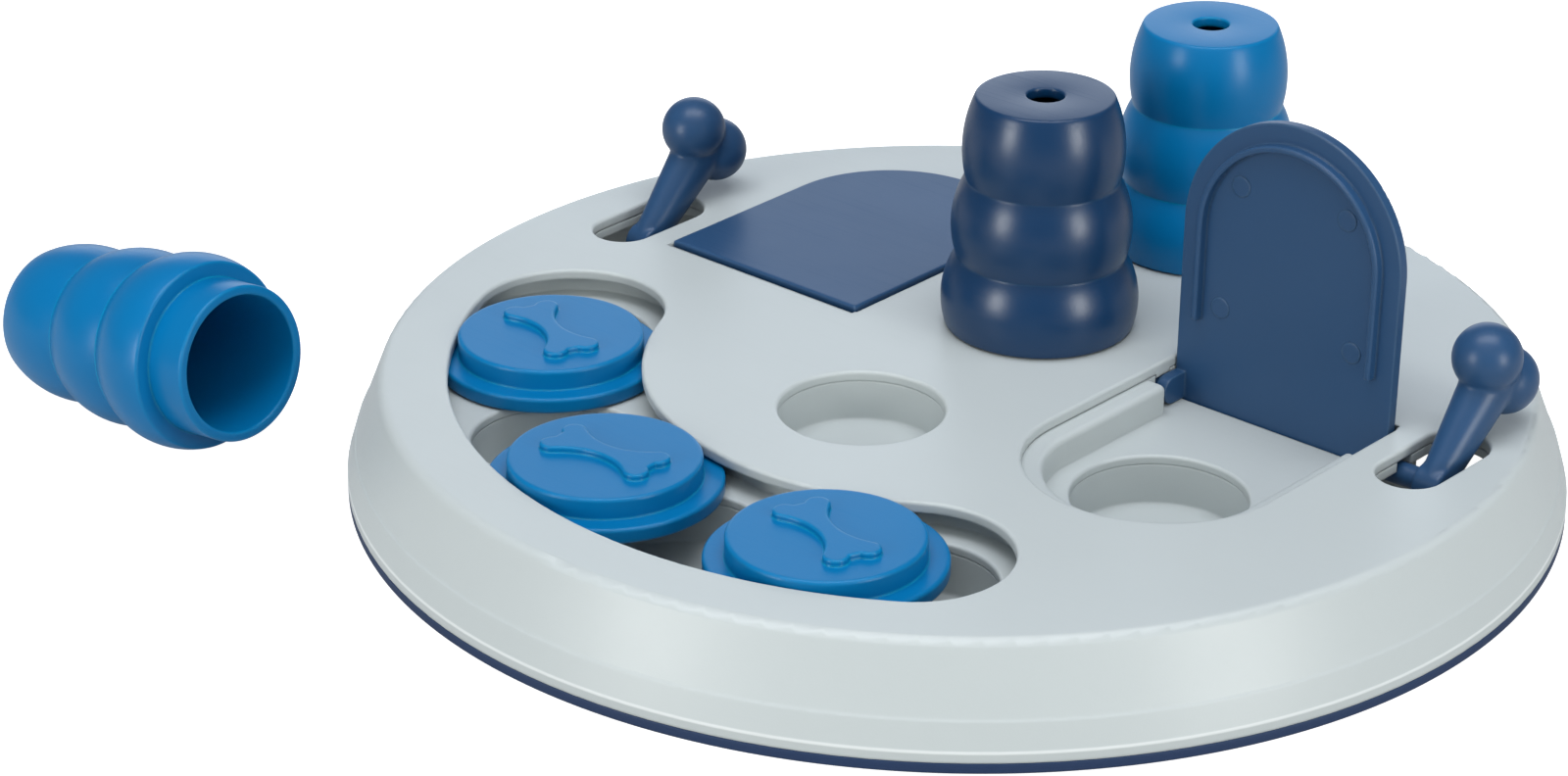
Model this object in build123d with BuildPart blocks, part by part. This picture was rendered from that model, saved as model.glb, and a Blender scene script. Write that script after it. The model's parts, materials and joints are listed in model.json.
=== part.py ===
"""Dog puzzle feeder toy: a round board with sliding discs, lever-operated flaps and lift-off cones.

Millimetres, +Z up.  The origin is the centre of the grip ring's resting face.
The three cone wells lie on the Y axis, and the two flap mechanisms are one
mechanism and its copy turned half way round.  The cone wells and the treat
wells are modelled as solids of their own under the mouldings that carry them.
"""
import os
from math import asin, cos, radians, sin, sqrt

from build123d import *

os.makedirs("parts", exist_ok=True)

edge_tolerance = 0.01     # when edges are picked by size or place

# ---------------------------------------------------------------- board
board_radius = 115.0
board_height = 22.0
shell_wall = 2.2          # side wall of the cover
top_thickness = 2.0       # flat top of the cover
lip_height = 1.9          # upright band above the grip ring
flare_height = 5.4        # gentle flare above the lip
flare_inset = 1.5
step_inset = 0.35         # fine shadow step between the flare and the side wall
shoulder_inset = 6.7      # where the side wall would meet the flat top, in from the board's edge
shoulder_fillet = 2.0
rim_fillet = 0.6          # round the openings in the cover

ring_height = 2.2         # visible band of the rubber grip ring
ring_width = 5.1
tongue_height = 2.6
tongue_width = 1.5
tongue_gap = 0.2

# ---------------------------------------------------------------- tray
tray_wall = 1.8
deck_gap = 0.2            # seam between the cover and the deck of the tray
skirt_inset = 11.0        # of the tray's skirt, in from the board's edge
flange_gap = 0.4          # from the foot flange to the tongue of the grip ring

# ---------------------------------------------------------------- screws
screw_count = 6
screw_inset = 8.4         # of the screws, in from the board's edge
screw_start = 15.0
screw_radius = 1.2
screw_length = 11.0
screw_head_radius = 2.4
screw_head_height = 1.4
screw_socket_radius = 1.1
screw_socket_depth = 0.8
boss_radius = 2.2
screw_hole_gap = 0.3

# ---------------------------------------------------------------- layout, as shares of the board's radius
well_places = (-0.2365, 0.2139, 0.6626)   # cone wells along Y
hinge_place = 0.4643                      # middle of a flap's hinge edge, out from the Y axis
left_hinge_level = 0.0391                 # the hinge edges along Y
right_hinge_level = 0.2757
track_place = 0.6739                      # the discs' track, out from the centre
loose_cone_place = (-0.9504, -0.7835)     # centre of the loose cone's base plane

# ---------------------------------------------------------------- cones and their wells
well_radius = 15.5
well_depth = 10.0
well_edge_fillet = 0.6
spigot_gap = 0.4          # radial, spigot in well
spigot_length = 9.0
seat_gap = 0.3
cone_height = 46.3
cone_base_radius = 18.1
cone_bulge_radii = (18.95, 17.3, 15.5)
cone_bulge_heights = (6.2, 21.3, 35.4)
cone_groove_radii = (16.3, 14.8)
cone_groove_heights = (14.2, 29.8)
cone_top_radius = 13.2
cone_top_fillet = 0.6
cone_wall = 1.9
cone_inner_taper = 1.0    # radial, from the spigot's mouth to the top
cone_hole_radius = 3.6
loose_cone_heading = 180.5

# ---------------------------------------------------------------- sliding discs
track_turn = 15.8         # from -Y round to the middle of the track, degrees
track_sweep = 100.0       # from the first disc centre to the last, degrees
track_wells = 4
disc_shares = {"upper_slider": 0.106, "middle_slider": 0.514, "lower_slider": 0.889}
bone_turns = {"upper_slider": -21.5, "middle_slider": 6.0, "lower_slider": -21.0}
cap_radius = 17.7
cap_height = 4.0
cap_fillet = 0.6
cap_slot_gap = 0.5
flange_radius = 21.6
flange_thickness = 3.0
flange_side_gap = 0.4
flange_lift_gap = 0.7     # under the cover
disc_float = 0.3          # over the track
disc_wall = 1.8
bone_half_length = 9.5      # to the knobs' centres
bone_knob_radius = 2.3
bone_knob_spread = 3.2
bone_waist = 1.9
bone_end = 10.6             # the notch between two knobs
bone_corner = 0.5           # where the outline turns in
bone_relief = 1.2
bone_fillet = 0.4

# ---------------------------------------------------------------- flaps
flap_half_width = 24.1
flap_length = 63.4
flap_thickness = 2.4
flap_edge_fillet = 0.5
flap_side_gap = 0.4
flap_swing = 91.0
ledge_width = 4.0
pan_depth = 8.1             # of the flap compartment's floor, below the cover's top
pan_well_radius = 16.3
pan_well_place = (0.45, 37.6)
pan_rim_fillet = 0.6        # round the well
ledge_fillet = 1.2          # along the ledge
ledge_end_round = 1.0
rib_inset = 3.9
rib_width = 1.2
rib_depth = 1.9
rib_start = 20.0
rib_fillet = 0.3

# ---------------------------------------------------------------- flap hinge and lever
pivot_y = 5.4               # from the flap's hinge edge
pivot_drop = 5.2            # below the cover's top
pivot_radius = 2.2
pivot_gap = 0.1
ear_radius = 2.7
ear_width = 2.2
heel_gap = 0.5
hinge_bay_length = 4.1      # open floor beyond the ears' centre line
lever_offset = 36.9         # from the flap's centre line
lever_lean = 45.0           # shaft above the closed flap, degrees
lever_length = 24.6
lever_hub_radius = 3.6
lever_hub_width = 5.6
shaft_foot_across = 2.9
shaft_foot_along = 3.6
shaft_head_across = 5.2
shaft_head_along = 5.7
ball_radius = 6.5
ball_spread = 4.45
slot_place = (-36.5, 5.7)
slot_half_length = 13.5
slot_half_width = 6.2
stub_depth = 4.0            # of the axle in the lever's hub

# ---------------------------------------------------------------- levels and derived sizes
shoulder_radius = board_radius - shoulder_inset
skirt_radius = board_radius - skirt_inset
screw_circle_radius = board_radius - screw_inset
track_radius = track_place * board_radius
track_start = 270 - track_turn - track_sweep / 2
well_spots = [(0, share * board_radius) for share in well_places]
cover_under = board_height - top_thickness
deck_top = cover_under - deck_gap
deck_under = deck_top - tray_wall
tray_bottom = ring_height
well_floor = board_height - well_depth
disc_top = cover_under - flange_lift_gap
disc_bottom = disc_top - flange_thickness
track_floor = disc_bottom - disc_float
pan_floor = board_height - pan_depth
pivot_z = board_height - pivot_drop
flap_under = cover_under + seat_gap
flap_top = flap_under + flap_thickness
window_half_width = flap_half_width + flap_side_gap
pan_half_width = window_half_width - ledge_width
arch_y = flap_length - flap_half_width
heel_radius = sqrt(pivot_y**2 + (flap_top - pivot_z) ** 2) + heel_gap
heel_floor = pivot_z - pivot_y - heel_gap
slot_inner_side = slot_place[0] + slot_half_width
pan_edge_y = pivot_y - (flap_under - pivot_z) + heel_gap
hinge_bay_end = pivot_y + hinge_bay_length
bay_half_width = window_half_width + tray_wall
bay_back = pivot_y - heel_radius - tray_wall
channel_half_width = flange_radius + flange_side_gap
cap_slot_half_width = cap_radius + cap_slot_gap
ring_inner_radius = board_radius - ring_width
tongue_outer = board_radius - shell_wall - tongue_gap
flange_outer = tongue_outer - tongue_width - flange_gap
spigot_radius = well_radius - spigot_gap
# a bone's long sides are arcs that run into its knobs without a corner
bone_side_radius = (
    (bone_half_length**2 + (bone_waist - bone_knob_spread) ** 2 - bone_knob_radius**2)
    / (2 * (bone_knob_radius + bone_knob_spread - bone_waist))
)
bone_reach = bone_knob_radius / (bone_side_radius + bone_knob_radius)
bone_shoulder_x = bone_half_length * (1 - bone_reach)
bone_shoulder_y = bone_knob_spread + (bone_waist + bone_side_radius - bone_knob_spread) * bone_reach

left_seat = Plane(
    origin=(-hinge_place * board_radius, left_hinge_level * board_radius, 0),
    x_dir=(1, 0, 0),
    z_dir=(0, 0, 1),
)
right_seat = Plane(
    origin=(hinge_place * board_radius, right_hinge_level * board_radius, 0),
    x_dir=(-1, 0, 0),
    z_dir=(0, 0, 1),
)
seats = (left_seat, right_seat)


def levels(height):
    """The two mechanisms' sketch planes at one height."""
    return [seat.offset(height) for seat in seats]


def side_planes(x):
    """Planes across both mechanisms at local x, with local (y, z) as their axes."""
    return [
        Plane(origin=seat.from_local_coords((x, 0, 0)), x_dir=seat.y_dir, z_dir=seat.x_dir)
        for seat in seats
    ]


def across(x):
    """Plane across a mechanism that is built at the origin, with its (y, z) as axes."""
    return Plane(origin=(x, 0, 0), x_dir=(0, 1, 0), z_dir=(1, 0, 0))


def arch_outline(half_width, back):
    """Sketch a straight-backed arch about the flap's own arch centre."""
    with Locations((0, (back + arch_y) / 2)):
        Rectangle(2 * half_width, arch_y - back)
    with Locations((0, arch_y)):
        Circle(half_width)


def track_outline(half_width):
    """Sketch a band with round ends along the discs' track."""
    line = CenterArc((0, 0), track_radius, track_start, track_sweep, mode=Mode.PRIVATE)
    SlotArc(arc=line, height=2 * half_width)


def slot_outline():
    """Sketch the lever's slot."""
    with Locations(slot_place):
        SlotOverall(2 * slot_half_length, 2 * slot_half_width, rotation=90)


def axle_notch(gap, floor, top):
    """Sketch an upright notch with a round floor about the axle, in (y, z)."""
    with Locations((pivot_y, (floor + top) / 2)):
        Rectangle(2 * (pivot_radius + gap), top - floor)


def round_cups(places, radius, floor, rim):
    """Plain round cups at the places, open at the rim's level."""
    with BuildPart() as cups:
        with BuildSketch(Plane.XY.offset(floor - tray_wall)):
            with Locations(*places):
                Circle(radius + tray_wall)
        extrude(amount=rim - floor + tray_wall)
        with BuildSketch(Plane.XY.offset(floor)):
            with Locations(*places):
                Circle(radius)
        extrude(amount=rim - floor, mode=Mode.SUBTRACT)
    return cups.part


def save(piece, name):
    piece.label = name
    export_step(piece, f"parts/{name}.step")


# ================================================================ top cover
side_foot_z = ring_height + lip_height
side_step_z = side_foot_z + flare_height
flare_radius = board_radius - flare_inset
side_slope = (flare_radius - step_inset - shoulder_radius) / (board_height - side_step_z)
inner_shoulder = shoulder_radius - shell_wall + side_slope * top_thickness

with BuildPart() as top_cover:
    with BuildSketch(Plane.XZ) as cover_section:
        with BuildLine():
            Polyline(
                (0, board_height),
                (shoulder_radius, board_height),
                (flare_radius - step_inset, side_step_z),
                (flare_radius, side_step_z - step_inset),
                (board_radius, side_foot_z),
                (board_radius, ring_height),
                (board_radius - shell_wall, ring_height),
                (board_radius - shell_wall, side_foot_z),
                (flare_radius - shell_wall, side_step_z),
                (inner_shoulder, cover_under),
                (0, cover_under),
                close=True,
            )
        make_face()
        fillet(
            cover_section.vertices().sort_by_distance((shoulder_radius, board_height, 0))[0],
            shoulder_fillet,
        )
    revolve(axis=Axis.Z)
    # screw bosses
    with BuildSketch(Plane.XY.offset(tray_bottom + tray_wall)):
        with PolarLocations(screw_circle_radius, screw_count, start_angle=screw_start):
            Circle(boss_radius)
    extrude(amount=cover_under - tray_bottom - tray_wall)
    with BuildSketch(Plane.XY.offset(tray_bottom)):
        with PolarLocations(screw_circle_radius, screw_count, start_angle=screw_start):
            Circle(screw_radius)
    extrude(amount=screw_length, mode=Mode.SUBTRACT)
    # keepers that close the axle notches of the tray from above
    for start, end in ((-bay_half_width, -window_half_width), (window_half_width, bay_half_width)):
        with BuildSketch(*side_planes(start)):
            axle_notch(-pivot_gap, pivot_z + pivot_radius + deck_gap, board_height - top_thickness / 2)
        extrude(amount=end - start)
    # the cone wells' mouths, the slot for the discs' caps, the flap windows and the lever slots
    with BuildSketch(Plane.XY.offset(cover_under)):
        with Locations(*well_spots):
            Circle(well_radius)
        track_outline(cap_slot_half_width)
    extrude(amount=top_thickness, mode=Mode.SUBTRACT)
    with BuildSketch(*levels(cover_under)):
        arch_outline(window_half_width, 0)
        slot_outline()
    extrude(amount=top_thickness, mode=Mode.SUBTRACT)
    face = top_cover.faces().filter_by(Plane.XY).sort_by(Axis.Z)[-1]
    mouths = face.inner_wires()
    wells = [wire for wire in mouths if len(wire.edges()) == 1]
    fillet([wire.edges() for wire in wells], well_edge_fillet)
    fillet([wire.edges() for wire in mouths if wire not in wells], rim_fillet)
    # room for the flap's heel
    with BuildSketch(*side_planes(-window_half_width)):
        with Locations((pivot_y, pivot_z)):
            Circle(heel_radius)
    extrude(amount=2 * window_half_width, mode=Mode.SUBTRACT)
save(top_cover.part, "top_cover")
save(round_cups(well_spots, well_radius, well_floor, cover_under), "cone_wells")

# ================================================================ base tray: its deck, then its skirt with the foot flange
with BuildPart() as tray_deck:
    with BuildSketch(Plane.XY.offset(deck_under)):
        Circle(skirt_radius)
        # room for the channel and the cone wells
        with BuildSketch(Plane.XY.offset(deck_under), mode=Mode.SUBTRACT):
            track_outline(channel_half_width + tray_wall)
            with Locations(*well_spots):
                Circle(well_radius + tray_wall + seat_gap)
    extrude(amount=tray_wall)
    # room for the flap compartments, the levers and the axles
    with BuildSketch(*levels(deck_under)):
        arch_outline(bay_half_width, bay_back)
        slot_outline()
        with Locations(((slot_inner_side - bay_half_width) / 2, pivot_y)):
            Rectangle(-slot_inner_side - bay_half_width, 2 * (pivot_radius + pivot_gap))
    extrude(amount=tray_wall, mode=Mode.SUBTRACT)
save(tray_deck.part, "tray_deck")

with BuildPart() as tray_skirt:
    with BuildSketch(Plane.XY.offset(tray_bottom)):
        Circle(skirt_radius)
        Circle(skirt_radius - tray_wall, mode=Mode.SUBTRACT)
    extrude(amount=deck_under - tray_bottom)
    with BuildSketch(Plane.XY.offset(tray_bottom)):
        Circle(flange_outer)
        Circle(skirt_radius - tray_wall, mode=Mode.SUBTRACT)
        with PolarLocations(screw_circle_radius, screw_count, start_angle=screw_start):
            Circle(screw_radius + screw_hole_gap, mode=Mode.SUBTRACT)
    extrude(amount=tray_wall)
save(tray_skirt.part, "tray_skirt")

# ================================================================ disc channel and its treat wells
track_spots = [
    (track_radius * cos(angle), track_radius * sin(angle))
    for angle in (radians(track_start + track_sweep * n / (track_wells - 1))
                  for n in range(track_wells))
]
with BuildPart() as disc_channel:
    with BuildSketch(Plane.XY.offset(track_floor - tray_wall)):
        track_outline(channel_half_width + tray_wall)
    extrude(amount=deck_top - track_floor + tray_wall)
    with BuildSketch(Plane.XY.offset(track_floor)):
        track_outline(channel_half_width)
    extrude(amount=deck_top - track_floor, mode=Mode.SUBTRACT)
    with BuildSketch(Plane.XY.offset(track_floor - tray_wall)):
        with Locations(*track_spots):
            Circle(well_radius)
    extrude(amount=tray_wall, mode=Mode.SUBTRACT)
    rims = disc_channel.edges().filter_by(GeomType.CIRCLE).filter_by_position(
        Axis.Z, track_floor, track_floor
    )
    fillet([edge for edge in rims if abs(edge.radius - well_radius) < edge_tolerance],
           well_edge_fillet)
save(disc_channel.part, "disc_channel")
save(
    round_cups(track_spots, well_radius, track_floor - well_depth, track_floor - tray_wall),
    "treat_wells",
)

# ================================================================ flap compartment, built at the origin
with BuildPart() as pan:
    with BuildSketch(Plane.XY.offset(pan_floor - tray_wall)):
        arch_outline(pan_half_width + tray_wall, pan_edge_y)
    extrude(amount=deck_under - pan_floor + tray_wall)
    with BuildSketch(Plane.XY.offset(heel_floor - tray_wall)):
        with Locations((0, (bay_back + hinge_bay_end + tray_wall) / 2)):
            Rectangle(2 * bay_half_width, hinge_bay_end + tray_wall - bay_back)
    extrude(amount=deck_under - heel_floor + tray_wall)
    # the rim that the closed flap rests on
    with BuildSketch(Plane.XY.offset(deck_under)):
        arch_outline(bay_half_width, bay_back)
    extrude(amount=tray_wall)
    with BuildSketch(Plane.XY.offset(pan_floor)) as room:
        arch_outline(pan_half_width, pan_edge_y)
        with Locations((0, (pan_edge_y + hinge_bay_end) / 2)):
            Rectangle(2 * window_half_width, hinge_bay_end - pan_edge_y)
        fillet(
            [corner for corner in room.vertices()
             if abs(corner.Y - hinge_bay_end) < edge_tolerance
             and abs(corner.X) < window_half_width - edge_tolerance],
            ledge_end_round,
        )
    extrude(amount=deck_top - pan_floor, mode=Mode.SUBTRACT)
    with BuildSketch(across(-window_half_width)):
        with Locations((pivot_y, pivot_z)):
            Circle(heel_radius)
        with Locations((pan_edge_y, heel_floor)):
            Rectangle(2 * heel_radius, board_height, align=(Align.MAX, Align.MIN),
                      mode=Mode.INTERSECT)
    extrude(amount=2 * window_half_width, mode=Mode.SUBTRACT)
    fillet(
        [edge for edge in pan.edges().filter_by_position(Axis.Z, deck_top, deck_top)
         if abs((edge @ 0.5).X) < pan_half_width + ledge_end_round
         and hinge_bay_end < (edge @ 0.5).Y < arch_y + pan_half_width + edge_tolerance],
        ledge_fillet,
    )
    with BuildSketch(Plane.XY.offset(pan_floor - tray_wall)):
        with Locations(pan_well_place):
            Circle(pan_well_radius)
    extrude(amount=tray_wall, mode=Mode.SUBTRACT)
    # axle notches through the sides of the hinge bay
    for start in (-bay_half_width, window_half_width):
        with BuildSketch(across(start)):
            axle_notch(pivot_gap, pivot_z, deck_top)
            with Locations((pivot_y, pivot_z)):
                Circle(pivot_radius + pivot_gap)
        extrude(amount=tray_wall, mode=Mode.SUBTRACT)
    rim = pan.edges().filter_by(GeomType.CIRCLE).filter_by_position(Axis.Z, pan_floor, pan_floor)
    fillet([edge for edge in rim if abs(edge.radius - pan_well_radius) < edge_tolerance],
           pan_rim_fillet)

pan_cup = round_cups([pan_well_place], pan_well_radius, tray_bottom + tray_wall,
                     pan_floor - tray_wall)
for side, seat in (("left", left_seat), ("right", right_seat)):
    for kind, piece in (("pan", pan.part), ("pan_cup", pan_cup)):
        save(piece.moved(seat.location), f"{side}_{kind}")

# ================================================================ grip ring and screws
with BuildPart() as grip_ring:
    with BuildSketch(Plane.XY):
        Circle(board_radius)
        Circle(ring_inner_radius, mode=Mode.SUBTRACT)
    extrude(amount=ring_height)
    with BuildSketch(Plane.XY.offset(ring_height)):
        Circle(tongue_outer)
        Circle(tongue_outer - tongue_width, mode=Mode.SUBTRACT)
    extrude(amount=tongue_height)
save(grip_ring.part, "grip_ring")

with BuildPart() as cover_screws:
    with BuildSketch(Plane.XY.offset(tray_bottom)):
        with PolarLocations(screw_circle_radius, screw_count, start_angle=screw_start):
            Circle(screw_radius)
    extrude(amount=screw_length)
    with BuildSketch(Plane.XY.offset(tray_bottom - screw_head_height)):
        with PolarLocations(screw_circle_radius, screw_count, start_angle=screw_start):
            Circle(screw_head_radius)
    extrude(amount=screw_head_height)
    with BuildSketch(Plane.XY.offset(tray_bottom - screw_head_height)):
        with PolarLocations(screw_circle_radius, screw_count, start_angle=screw_start):
            RegularPolygon(screw_socket_radius, 6)
    extrude(amount=screw_socket_depth, mode=Mode.SUBTRACT)
save(cover_screws.part, "cover_screws")

# ================================================================ sliding discs
for name, share in disc_shares.items():
    with BuildPart() as slider:
        with BuildSketch(Plane.XY.offset(disc_bottom)):
            Circle(flange_radius)
        extrude(amount=flange_thickness)
        with BuildSketch(Plane.XY.offset(disc_top)):
            Circle(cap_radius)
        extrude(amount=cap_height)
        fillet(slider.edges().filter_by(GeomType.CIRCLE).group_by(Axis.Z)[-1], cap_fillet)
        fillet(
            [edge for edge in slider.edges().filter_by(GeomType.CIRCLE)
             if edge.radius == flange_radius],
            cap_fillet,
        )
        # the moulding is hollow from below
        with BuildSketch(Plane.XY.offset(disc_bottom)):
            Circle(cap_radius - disc_wall)
        extrude(amount=flange_thickness + cap_height - disc_wall, mode=Mode.SUBTRACT)
        # raised bone
        with BuildSketch(Plane.XY.offset(disc_top + cap_height)) as bone:
            with BuildLine():
                for side in (1, -1):
                    ThreePointArc(
                        (-bone_shoulder_x, side * bone_shoulder_y),
                        (0, side * bone_waist),
                        (bone_shoulder_x, side * bone_shoulder_y),
                    )
                    Line((side * bone_shoulder_x, bone_shoulder_y),
                         (side * bone_end, bone_knob_spread))
                    Line((side * bone_end, bone_knob_spread), (side * bone_end, -bone_knob_spread))
                    Line((side * bone_end, -bone_knob_spread),
                         (side * bone_shoulder_x, -bone_shoulder_y))
            make_face()
            with GridLocations(2 * bone_half_length, 2 * bone_knob_spread, 2, 2):
                Circle(bone_knob_radius)
            fillet([corner for corner in bone.vertices() if abs(corner.Y) < bone_knob_radius],
                   bone_corner)
        extrude(amount=bone_relief)
        fillet(slider.faces().sort_by(Axis.Z)[-1].edges(), bone_fillet)
    angle = radians(track_start + share * track_sweep)
    x, y = track_radius * cos(angle), track_radius * sin(angle)
    save(slider.part.moved(Location((x, y, 0), (0, 0, bone_turns[name]))), name)

# ================================================================ cones
with BuildPart() as cone:
    with BuildSketch(Plane.XZ):
        with BuildLine():
            radii = (cone_base_radius, *cone_groove_radii, cone_top_radius)
            heights = (0, *cone_groove_heights, cone_height)
            for index, (bulge, height) in enumerate(zip(cone_bulge_radii, cone_bulge_heights)):
                ThreePointArc(
                    (radii[index], heights[index]),
                    (bulge, height),
                    (radii[index + 1], heights[index + 1]),
                )
            Polyline(
                (cone_top_radius, cone_height),
                (0, cone_height),
                (0, -spigot_length),
                (spigot_radius, -spigot_length),
                (spigot_radius, 0),
                (cone_base_radius, 0),
            )
        make_face()
    revolve(axis=Axis.Z)
    fillet(cone.faces().sort_by(Axis.Z)[-1].edges(), cone_top_fillet)
    # one smooth taper inside, from the spigot's mouth to the top
    with BuildSketch(Plane.XY.offset(-spigot_length)):
        Circle(spigot_radius - cone_wall)
    with BuildSketch(Plane.XY.offset(cone_height - cone_wall)):
        Circle(spigot_radius - cone_wall - cone_inner_taper)
    loft(mode=Mode.SUBTRACT)
    with BuildSketch(Plane.XY.offset(cone_height - cone_wall)):
        Circle(cone_hole_radius)
    extrude(amount=cone_wall, mode=Mode.SUBTRACT)

loose_tilt = asin((cone_bulge_radii[0] - cone_bulge_radii[2])
                  / (cone_bulge_heights[2] - cone_bulge_heights[0]))
heading = radians(loose_cone_heading)
# lying on two of its bulges: the axis follows the heading and dips by the tilt
lying = Plane(
    origin=(*(share * board_radius for share in loose_cone_place), 0),
    x_dir=(-sin(heading), cos(heading), 0),
    z_dir=(cos(heading) * cos(loose_tilt), sin(heading) * cos(loose_tilt), -sin(loose_tilt)),
).location
floor_lift = -cone.part.moved(lying).bounding_box().min.Z
cone_seat_z = board_height + seat_gap
cone_places = {
    "navy_cone": Location((*well_spots[1], cone_seat_z)),
    "blue_cone": Location((*well_spots[2], cone_seat_z)),
    "loose_blue_cone": Location((0, 0, floor_lift)) * lying,
}
for name, place in cone_places.items():
    save(cone.part.moved(place), name)

# ================================================================ flap, built closed
with BuildPart() as flap:
    with BuildSketch(Plane.XY.offset(flap_under)):
        arch_outline(flap_half_width, 0)
    extrude(amount=flap_thickness)
    fillet(flap.faces().sort_by(Axis.Z)[-1].edges(), flap_edge_fillet)
    # stiffening rib under the arch
    with BuildSketch(Plane.XY.offset(flap_under - rib_depth)):
        arch_outline(flap_half_width - rib_inset, rib_start)
        with Locations((0, (rib_start + arch_y) / 2)):
            Rectangle(2 * (flap_half_width - rib_inset - rib_width), arch_y - rib_start,
                      mode=Mode.SUBTRACT)
        with Locations((0, arch_y)):
            Circle(flap_half_width - rib_inset - rib_width, mode=Mode.SUBTRACT)
        with Locations((0, rib_start)):
            Rectangle(2 * flap_half_width, rib_start, align=(Align.CENTER, Align.MAX),
                      mode=Mode.SUBTRACT)
    extrude(amount=rib_depth)
    fillet(flap.faces().sort_by(Axis.Z)[0].edges(), rib_fillet)
    # ears down to the axle, and the two ends of the axle
    ear_edge = flap_half_width - ear_width
    for start in (-flap_half_width, ear_edge):
        with BuildSketch(across(start)):
            with Locations((pivot_y, pivot_z)):
                Circle(ear_radius)
                Rectangle(2 * ear_radius, flap_under - pivot_z, align=(Align.CENTER, Align.MIN))
        extrude(amount=ear_width)
    axle_start = -(lever_offset - lever_hub_width / 2) - stub_depth
    with BuildSketch(across(axle_start)):
        with Locations((pivot_y, pivot_z)):
            Circle(pivot_radius)
    extrude(amount=-ear_edge - axle_start)
    with BuildSketch(across(ear_edge)):
        with Locations((pivot_y, pivot_z)):
            Circle(pivot_radius)
    extrude(amount=bay_half_width - deck_gap - ear_edge)

# ================================================================ lever, built beside the closed flap
lever_axis = (0, cos(radians(lever_lean)), sin(radians(lever_lean)))
lever_plane = Plane(origin=(-lever_offset, pivot_y, pivot_z), x_dir=(1, 0, 0), z_dir=lever_axis)
with BuildPart() as lever:
    with BuildSketch(lever_plane):
        Ellipse(shaft_foot_across, shaft_foot_along)
    with BuildSketch(lever_plane.offset(lever_length)):
        Ellipse(shaft_head_across, shaft_head_along)
    loft()
    with BuildSketch(across(-lever_offset - lever_hub_width / 2)):
        with Locations((pivot_y, pivot_z)):
            Circle(lever_hub_radius)
    extrude(amount=lever_hub_width)
    with Locations(*[lever_plane.offset(lever_length).location * Location((0, side * ball_spread, 0))
                     for side in (-1, 1)]):
        Sphere(ball_radius)
    with BuildSketch(across(axle_start)):
        with Locations((pivot_y, pivot_z)):
            Circle(pivot_radius)
    extrude(amount=stub_depth, mode=Mode.SUBTRACT)

# ================================================================ place both mechanisms
pivot_axis = Axis((0, pivot_y, pivot_z), (1, 0, 0))
for side, seat, opening in (("left", left_seat, 0), ("right", right_seat, flap_swing)):
    for kind, piece in (("flap", flap.part), ("lever", lever.part)):
        save(piece.rotate(pivot_axis, opening).moved(seat.location), f"{side}_{kind}")
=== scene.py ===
"""Dog puzzle feeder: moulded board, sliding discs, lever flaps and lift-off cones."""
import json
import math

import bmesh
import bpy
from bpy.props import FloatProperty, FloatVectorProperty, IntProperty, PointerProperty
from mathutils import Matrix, Vector


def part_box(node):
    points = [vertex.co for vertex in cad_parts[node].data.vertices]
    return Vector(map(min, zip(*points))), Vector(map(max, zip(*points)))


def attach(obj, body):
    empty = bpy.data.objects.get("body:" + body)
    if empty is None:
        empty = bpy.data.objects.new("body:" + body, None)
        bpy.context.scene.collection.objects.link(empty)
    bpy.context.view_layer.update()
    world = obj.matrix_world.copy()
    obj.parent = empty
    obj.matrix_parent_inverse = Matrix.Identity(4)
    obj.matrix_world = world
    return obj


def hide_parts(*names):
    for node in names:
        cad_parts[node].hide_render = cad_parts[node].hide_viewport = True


bl_info = {
    "name": "Dog Puzzle Feeder",
    "version": (1, 0, 0),
    "blender": (4, 5, 0),
    "location": "3D View > Sidebar > Puzzle Feeder",
    "description": "Finishes the board, discs, flaps, levers and cones of a treat puzzle",
    "category": "Object",
}

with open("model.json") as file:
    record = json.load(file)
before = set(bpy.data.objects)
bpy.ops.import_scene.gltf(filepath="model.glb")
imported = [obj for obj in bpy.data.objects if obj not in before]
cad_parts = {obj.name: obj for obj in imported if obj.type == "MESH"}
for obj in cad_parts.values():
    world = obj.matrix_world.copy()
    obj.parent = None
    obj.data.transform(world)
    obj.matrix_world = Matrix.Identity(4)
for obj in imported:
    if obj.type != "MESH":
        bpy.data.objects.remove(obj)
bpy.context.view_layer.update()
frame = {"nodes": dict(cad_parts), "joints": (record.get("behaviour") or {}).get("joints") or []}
cover_low, cover_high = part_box("top_cover")
board_radius = (cover_high.x - cover_low.x) / 2

COVER_NODES = ("top_cover", "tray_deck", "tray_skirt", "disc_channel", "left_pan", "right_pan")
WELL_NODES = ("cone_wells", "treat_wells", "left_pan_cup", "right_pan_cup")
DISC_NODES = ("upper_slider", "middle_slider", "lower_slider")
CONE_NODES = {"navy_cone": ("navy_cup", "navy_plastic"),
              "blue_cone": ("blue_cup", "blue_plastic"),
              "loose_blue_cone": ("loose_cup", "blue_plastic")}
SIDES = ("left", "right")

WELL_SHARES = (-0.2365, 0.2139, 0.6626)   # cone wells along +Y, in board radii
TRACK_SHARE = 0.6739                      # track of the discs, in board radii
TRACK_START, TRACK_STEP, TRACK_WELLS = 204.2, 100 / 3, 4   # degrees round from +X
LOOSE_HEADING = math.radians(180.5)       # where the loose cone points
FLAP_SWING = math.radians(91)             # from a closed flap to an open one
SCREW_TURN = 0.9                          # radians that each screw is turned past the last
CREASE = math.radians(35)                 # edges sharper than this stay sharp

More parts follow.
